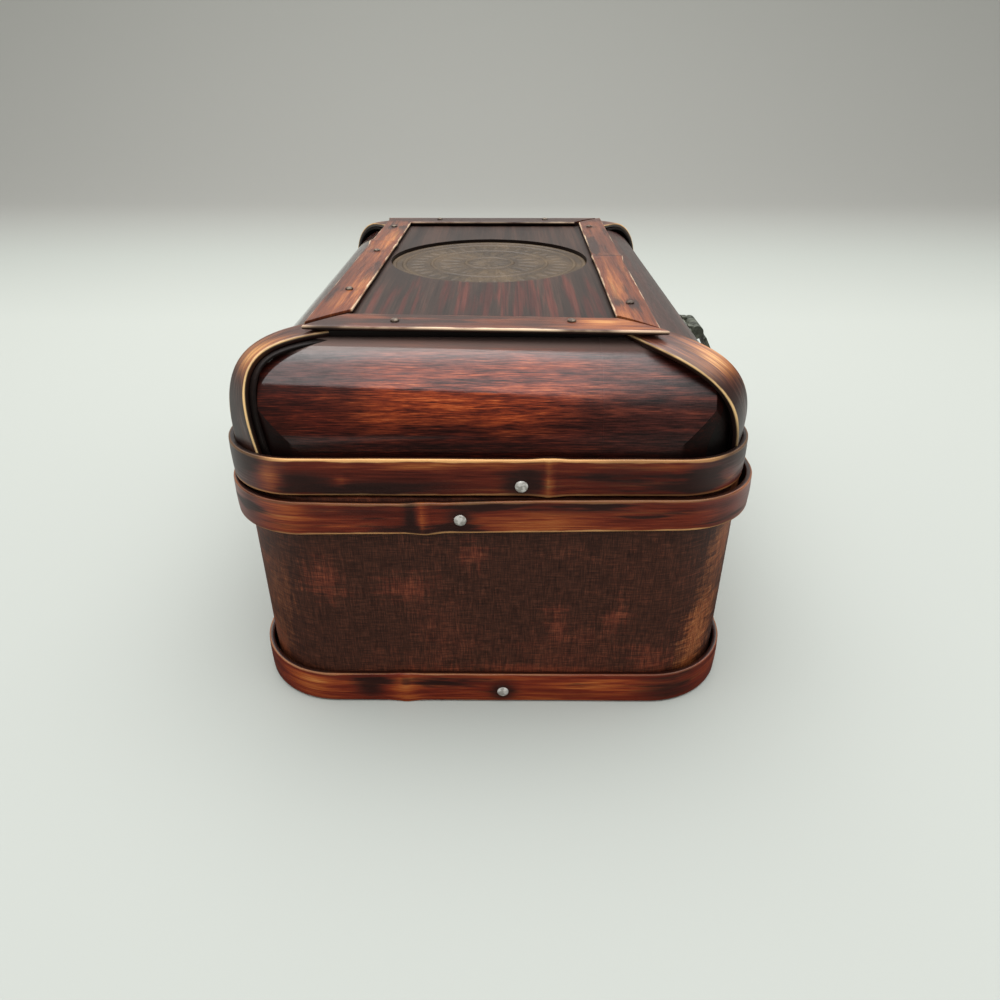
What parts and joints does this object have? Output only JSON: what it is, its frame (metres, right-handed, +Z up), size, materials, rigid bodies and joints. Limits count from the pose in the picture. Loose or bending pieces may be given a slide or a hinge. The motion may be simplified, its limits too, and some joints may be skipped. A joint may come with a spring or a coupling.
{
  "type": "ditty box",
  "caption": "Hinged wooden keepsake box with a cushion-shaped lid, bound with bent bamboo strips and closed by a hasp over a staple.",
  "frame": {"origin": "middle of the floor board's underside, on the table", "axes": "+X along the length towards the right end, +Y towards the hinges, -Y the hasp side, +Z up"},
  "size_m": [0.2536, 0.1947, 0.1283],
  "materials": {
    "dark_veneer": "dark brown lacquered veneer with a fine cross-hatch",
    "red_veneer": "glossy red-brown lacquered veneer with straight grain",
    "top_veneer": "satin grey-brown lacquered veneer",
    "plain_board": "plain dark-stained board",
    "bamboo_band": "scorched and lacquered bamboo with bare pale edges",
    "bamboo_hip": "scorched and lacquered bamboo with bare pale edges",
    "bamboo_frame": "scorched and lacquered bamboo with bare pale edges",
    "medallion_stone": "matt olive-brown carved stone",
    "nail_steel": "bright domed nail head",
    "nail_dark": "dulled domed nail head",
    "patina_brass": "dark grey-green patina"
  },
  "bodies": {
    "base": {"base_wall": "dark_veneer", "base_floor": "plain_board", "bottom_band": "bamboo_band", "base_rim_band": "bamboo_band", "bottom_band_nails": "nail_steel", "base_rim_nails": "nail_steel", "hinge_base_leaves": "patina_brass", "hinge_base_screws": "patina_brass", "hinge_pins": "patina_brass", "staple_plate": "patina_brass", "staple_plate_pins": "patina_brass", "staple": "patina_brass"},
    "lid": {"lid_collar": "plain_board", "lid_front_panel": "red_veneer", "lid_back_panel": "red_veneer", "lid_left_panel": "red_veneer", "lid_right_panel": "red_veneer", "lid_corner_blocks": "plain_board", "lid_core_board": "plain_board", "lid_top_board": "top_veneer", "medallion": "medallion_stone", "lid_rim_band": "bamboo_band", "lid_rim_nails": "nail_steel", "hip_strip_front_left": "bamboo_hip", "hip_strip_front_right": "bamboo_hip", "hip_strip_back_left": "bamboo_hip", "hip_strip_back_right": "bamboo_hip", "frame_front_strip": "bamboo_frame", "frame_back_strip": "bamboo_frame", "frame_left_strip": "bamboo_frame", "frame_right_strip": "bamboo_frame", "frame_nails": "nail_dark", "hinge_lid_leaves": "patina_brass", "hinge_lid_screws": "patina_brass", "hasp_plate": "patina_brass", "hasp_plate_pins": "patina_brass", "hasp_pin": "patina_brass"},
    "hasp": {"hasp_tongue": "patina_brass"}
  },
  "joints": [
    {"name": "lid_hinge", "type": "hinge", "parent": "base", "child": "lid", "pos_m": [0, 0.0878, 0.08275], "axis": [-1, 0, 0], "range_deg": [0, 105]},
    {"name": "hasp_swing", "type": "hinge", "parent": "lid", "child": "hasp", "pos_m": [0, -0.0861, 0.098], "axis": [-1, 0, 0], "range_deg": [-28, 132]}
  ]
}
